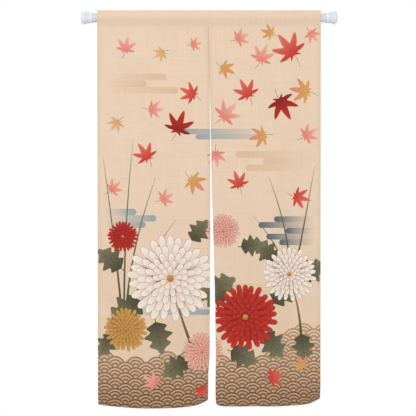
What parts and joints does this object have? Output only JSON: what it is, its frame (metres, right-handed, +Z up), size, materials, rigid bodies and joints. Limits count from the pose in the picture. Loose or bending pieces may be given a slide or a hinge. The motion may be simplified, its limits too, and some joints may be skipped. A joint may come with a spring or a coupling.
{
  "type": "noren curtain on a tension rod",
  "caption": "Split doorway curtain: printed cloth panels joined at the top and open below, hung by a rod pocket from a white spring tension rod.",
  "frame": {"origin": "on the rod's axis, midway between the flat ends of its two feet", "axes": "+X to the right seen from the front, along the rod; +Y to the back; +Z up"},
  "size_m": [0.97, 0.0868, 1.5034],
  "materials": {
    "printed_cloth": "plain woven cloth with a matt print",
    "white_tube": "smooth white coating",
    "white_plastic": "moulded, slightly cool white"
  },
  "bodies": {
    "root": {"panel_left": "printed_cloth", "panel_right": "printed_cloth", "rod_tube": "white_tube", "collar_left": "white_plastic", "collar_right": "white_plastic", "foot_left": "white_plastic", "foot_right": "white_plastic"}
  },
  "joints": []
}
